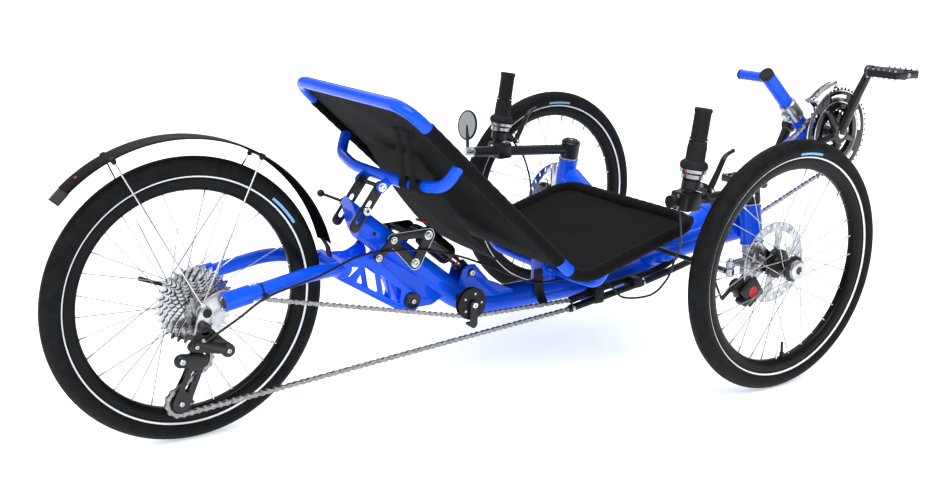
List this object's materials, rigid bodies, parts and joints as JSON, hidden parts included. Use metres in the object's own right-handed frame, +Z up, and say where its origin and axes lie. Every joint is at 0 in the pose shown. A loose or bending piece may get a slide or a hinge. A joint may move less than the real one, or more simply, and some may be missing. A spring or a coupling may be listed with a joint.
{
  "type": "recumbent tricycle",
  "caption": "Recumbent tadpole tricycle with two steered front wheels, a sprung rear wheel, a mesh seat, side bars and chain drive to the rear.",
  "frame": {"origin": "where the rear tyre meets the ground, on the centre plane", "axes": "+Z up, the tricycle faces -Y, -X is the rider's right and the chain's side"},
  "size_m": [0.8048, 1.8736, 0.5814],
  "materials": {
    "blue_paint": "glossy bright blue paint",
    "black_anodised": "black anodised, satin",
    "polished_aluminium": "bright, lightly brushed",
    "plated_steel": "plated, bright",
    "tyre_rubber": "matt black rubber",
    "grip_rubber": "matt black",
    "seat_mesh": "woven black mesh",
    "black_plastic": "moulded, semi-gloss"
  },
  "bodies": {
    "frame": {"main_frame": "blue_paint", "front_frame": "blue_paint", "swingarm_pivot_axle": "black_anodised", "idler_bracket": "black_anodised", "seat_clamp_axle": "plated_steel", "chain": "plated_steel", "chain_tubes": "black_plastic", "derailleur_cable": "black_plastic"},
    "idler": {"chain_idler": "black_plastic"},
    "seat": {"seat_frame": "blue_paint", "seat_sling": "seat_mesh"},
    "struts": {"seat_struts": "black_anodised"},
    "seat_lever": {"seat_clamp_lever": "black_anodised"},
    "swingarm": {"swingarm": "blue_paint", "rear_fender": "black_plastic", "rear_axle": "plated_steel", "rear_derailleur": "black_anodised"},
    "axle_lever": {"rear_axle_lever": "black_anodised"},
    "rear_wheel": {"rear_tyre": "tyre_rubber", "rear_rim": "black_anodised", "rear_hub": "polished_aluminium"},
    "cassette": {"cassette": "plated_steel"},
    "derailleur_knuckle": {"derailleur_knuckle": "black_anodised"},
    "derailleur_cage": {"derailleur_cage": "black_anodised"},
    "guide_pulley": {"guide_pulley": "black_plastic"},
    "tension_pulley": {"tension_pulley": "black_plastic"},
    "rocker": {"shock_rocker": "black_anodised"},
    "right_link": {"right_shock_link": "black_anodised"},
    "left_link": {"left_shock_link": "black_anodised"},
    "shock_shaft": {"shock_shaft": "polished_aluminium"},
    "shock_can": {"shock_air_can": "black_anodised"},
    "boom": {"boom": "blue_paint"},
    "shift_cage": {"front_derailleur_cage": "plated_steel"},
    "crank": {"right_crank": "black_anodised", "left_crank": "black_anodised", "chainrings": "black_anodised"},
    "right_pedal": {"right_pedal": "black_anodised"},
    "left_pedal": {"left_pedal": "black_anodised"},
    "tie_rod": {"tie_rod": "black_anodised"},
    "mirror": {"mirror": "black_plastic"},
    "right_steering": {"right_knuckle": "polished_aluminium", "right_handlebar": "black_anodised", "right_grip": "grip_rubber", "right_brake_caliper": "black_anodised"},
    "right_shifter": {"right_twist_shifter": "grip_rubber"},
    "right_brake_lever": {"right_brake_lever": "black_anodised"},
    "right_front_wheel": {"right_front_tyre": "tyre_rubber", "right_front_rim": "black_anodised", "right_front_hub": "polished_aluminium", "right_front_rotor": "plated_steel"},
    "left_steering": {"left_knuckle": "polished_aluminium", "left_handlebar": "black_anodised", "left_grip": "grip_rubber", "left_brake_caliper": "black_anodised"},
    "left_shifter": {"left_twist_shifter": "grip_rubber"},
    "left_brake_lever": {"left_brake_lever": "black_anodised"},
    "left_front_wheel": {"left_front_tyre": "tyre_rubber", "left_front_rim": "black_anodised", "left_front_hub": "polished_aluminium", "left_front_rotor": "plated_steel"}
  },
  "joints": [
    {"name": "rear_suspension", "type": "hinge", "parent": "frame", "child": "swingarm", "pos_m": [0, -0.416, 0.184], "axis": [1, 0, 0], "range_deg": [0, 10], "stiffness_Nm_per_rad": 300, "springref_deg": -11.46, "deforming": ["chain", "derailleur_cable"]},
    {"name": "rocker_pivot", "type": "hinge", "parent": "frame", "child": "rocker", "pos_m": [0, -0.419, 0.257], "axis": [1, 0, 0], "range_deg": [0, 17.5]},
    {"name": "right_link_pivot", "type": "hinge", "parent": "swingarm", "child": "right_link", "pos_m": [0, -0.34, 0.278], "axis": [1, 0, 0], "range_deg": [-11.1, 0]},
    {"name": "left_link_pivot", "type": "hinge", "parent": "swingarm", "child": "left_link", "pos_m": [0, -0.34, 0.278], "axis": [1, 0, 0], "range_deg": [-11.1, 0]},
    {"name": "shock_foot_pivot", "type": "hinge", "parent": "frame", "child": "shock_shaft", "pos_m": [0, -0.555, 0.215], "axis": [1, 0, 0], "range_deg": [0, 0.5]},
    {"name": "shock_stroke", "type": "slide", "parent": "shock_shaft", "child": "shock_can", "axis": [0, 0.7647, 0.6444], "range_m": [-0.0175, 0]},
    {"name": "rear_spin", "type": "hinge", "parent": "swingarm", "child": "rear_wheel", "pos_m": [0, 0, 0.243], "axis": [1, 0, 0], "continuous": true},
    {"name": "axle_lever_open", "type": "hinge", "parent": "swingarm", "child": "axle_lever", "pos_m": [0.0915, 0, 0.243], "axis": [0, 0.3748, -0.9271], "range_deg": [0, 120]},
    {"name": "crank_spin", "type": "hinge", "parent": "boom", "child": "crank", "pos_m": [0, -1.53, 0.415], "axis": [1, 0, 0], "continuous": true},
    {"name": "cassette_spin", "type": "hinge", "parent": "swingarm", "child": "cassette", "pos_m": [0, 0, 0.243], "axis": [1, 0, 0], "continuous": true},
    {"name": "idler_spin", "type": "hinge", "parent": "frame", "child": "idler", "pos_m": [0, -0.527, 0.169], "axis": [1, 0, 0], "continuous": true},
    {"name": "derailleur_shift", "type": "slide", "parent": "swingarm", "child": "derailleur_knuckle", "axis": [0.867, 0, -0.4983], "range_m": [0, 0.035], "deforming": ["chain", "derailleur_cable"]},
    {"name": "cage_swing", "type": "hinge", "parent": "derailleur_knuckle", "child": "derailleur_cage", "pos_m": [-0.0625, 0.01, 0.162], "axis": [1, 0, 0], "range_deg": [-20, 20], "stiffness_Nm_per_rad": 0.5, "deforming": ["chain"]},
    {"name": "guide_pulley_spin", "type": "hinge", "parent": "derailleur_cage", "child": "guide_pulley", "pos_m": [-0.0625, 0.01, 0.162], "axis": [1, 0, 0], "continuous": true},
    {"name": "tension_pulley_spin", "type": "hinge", "parent": "derailleur_cage", "child": "tension_pulley", "pos_m": [-0.0625, 0.045, 0.092], "axis": [1, 0, 0], "continuous": true},
    {"name": "boom_slide", "type": "slide", "parent": "frame", "child": "boom", "axis": [0, -0.8944, 0.4472], "range_m": [-0.04, 0.06], "deforming": ["chain"]},
    {"name": "front_shift", "type": "slide", "parent": "boom", "child": "shift_cage", "axis": [1, 0, 0], "range_m": [-0.0065, 0.0125], "deforming": ["chain"]},
    {"name": "seat_recline", "type": "hinge", "parent": "frame", "child": "seat", "pos_m": [0, -0.745, 0.196], "axis": [1, 0, 0], "range_deg": [-2, 3]},
    {"name": "strut_pivot", "type": "hinge", "parent": "seat", "child": "struts", "pos_m": [0, -0.348, 0.406], "axis": [1, 0, 0], "range_deg": [-6.5, 4.4]},
    {"name": "seat_lever_open", "type": "hinge", "parent": "frame", "child": "seat_lever", "pos_m": [0.05, -0.318, 0.366], "axis": [0, 0.4008, -0.9162], "range_deg": [0, 110]},
    {"name": "right_pedal_spin", "type": "hinge", "parent": "crank", "child": "right_pedal", "pos_m": [-0.164, -1.573, 0.559], "axis": [1, 0, 0], "continuous": true},
    {"name": "left_pedal_spin", "type": "hinge", "parent": "crank", "child": "left_pedal", "pos_m": [0.164, -1.487, 0.271], "axis": [1, 0, 0], "continuous": true},
    {"name": "left_steer", "type": "hinge", "parent": "frame", "child": "left_steering", "pos_m": [0.276, -1.025, 0.36], "axis": [-0.1736, 0, 0.9848], "range_deg": [-25, 25]},
    {"name": "right_steer", "type": "hinge", "parent": "frame", "child": "right_steering", "pos_m": [-0.276, -1.025, 0.36], "axis": [0.1736, 0, 0.9848], "range_deg": [-25, 25], "deforming": ["derailleur_cable"]},
    {"name": "tie_rod_turn", "type": "hinge", "parent": "left_steering", "child": "tie_rod", "pos_m": [0.29751, -0.965, 0.224], "axis": [-0.1735, -0.035, 0.9842], "range_deg": [-25, 25]},
    {"name": "right_front_spin", "type": "hinge", "parent": "right_steering", "child": "right_front_wheel", "pos_m": [-0.366, -1.038, 0.2432], "axis": [0.9998, 0, 0.0192], "continuous": true},
    {"name": "right_twist", "type": "hinge", "parent": "right_steering", "child": "right_shifter", "pos_m": [-0.3, -0.85058, 0.46206], "axis": [0, -0.148, 0.989], "range_deg": [0, 93]},
    {"name": "right_brake_pull", "type": "hinge", "parent": "right_steering", "child": "right_brake_lever", "pos_m": [-0.302, -0.89, 0.393], "axis": [-1, 0, 0], "range_deg": [0, 15], "stiffness_Nm_per_rad": 0.4},
    {"name": "left_front_spin", "type": "hinge", "parent": "left_steering", "child": "left_front_wheel", "pos_m": [0.366, -1.038, 0.2432], "axis": [0.9998, 0, -0.0192], "continuous": true},
    {"name": "left_twist", "type": "hinge", "parent": "left_steering", "child": "left_shifter", "pos_m": [0.3, -0.85058, 0.46206], "axis": [0, -0.148, 0.989], "range_deg": [-30, 60]},
    {"name": "left_brake_pull", "type": "hinge", "parent": "left_steering", "child": "left_brake_lever", "pos_m": [0.302, -0.89, 0.393], "axis": [-1, 0, 0], "range_deg": [0, 15], "stiffness_Nm_per_rad": 0.4},
    {"name": "mirror_turn", "type": "hinge", "parent": "left_steering", "child": "mirror", "pos_m": [0.292, -0.755, 0.382], "axis": [0.0625, 0.9967, 0.0508], "range_deg": [-30, 30]}
  ],
  "couplings": [
    {"joint": "rocker_pivot", "follows": "rear_suspension", "ratio": 1.7397},
    {"joint": "right_link_pivot", "follows": "rear_suspension", "ratio": -1.0982},
    {"joint": "left_link_pivot", "follows": "rear_suspension", "ratio": -1.0982},
    {"joint": "shock_foot_pivot", "follows": "rear_suspension", "ratio": 0.0466},
    {"joint": "shock_stroke", "follows": "rear_suspension", "m_per_rad": -0.0977},
    {"joint": "cassette_spin", "follows": "crank_spin", "ratio": 2.9231},
    {"joint": "idler_spin", "follows": "crank_spin", "ratio": -2.9231},
    {"joint": "guide_pulley_spin", "follows": "crank_spin", "ratio": -3.4545},
    {"joint": "tension_pulley_spin", "follows": "crank_spin", "ratio": 3.4545},
    {"joint": "derailleur_shift", "follows": "right_twist", "m_per_rad": 0.0215},
    {"joint": "front_shift", "follows": "left_twist", "m_per_rad": 0.0118},
    {"joint": "strut_pivot", "follows": "seat_recline", "ratio": -2.14},
    {"joint": "right_steer", "follows": "left_steer", "ratio": 1},
    {"joint": "tie_rod_turn", "follows": "left_steer", "ratio": -1}
  ]
}
